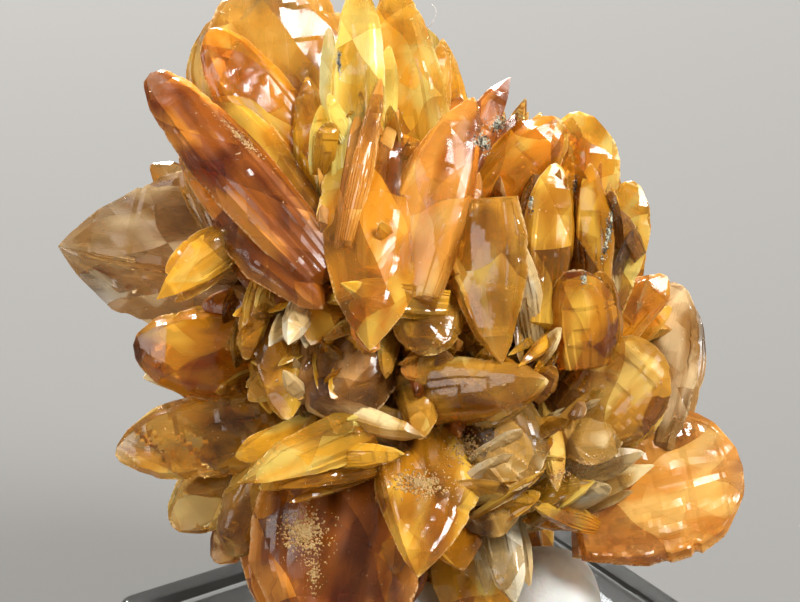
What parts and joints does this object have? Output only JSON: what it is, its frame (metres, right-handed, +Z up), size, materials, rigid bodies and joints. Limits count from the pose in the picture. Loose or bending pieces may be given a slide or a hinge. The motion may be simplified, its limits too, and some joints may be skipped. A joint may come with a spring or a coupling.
{
  "type": "amber selenite crystal cluster on a clear acrylic display block",
  "caption": "Ball of intergrown amber lens-shaped gypsum blades, held by lumps of white mineral tack on a clear square acrylic block",
  "frame": {"origin": "centre of the acrylic block's underside", "axes": "+Z up, out of the block's top; -Y towards the viewer who sees the cluster's best side; +X to that viewer's right; the block is turned about 34 degrees on Z"},
  "size_m": [0.0728, 0.0682, 0.0765],
  "materials": {
    "amber_selenite": "translucent amber to red-brown gypsum, satin cleavage faces with pearly sheen",
    "white_tack": "soft matt white putty, finger-pinched",
    "clear_acrylic": "clear, polished faces and edges"
  },
  "bodies": {
    "root": {"selenite_cluster": "amber_selenite", "tack_left": "white_tack", "tack_right": "white_tack", "acrylic_block": "clear_acrylic"}
  },
  "joints": []
}
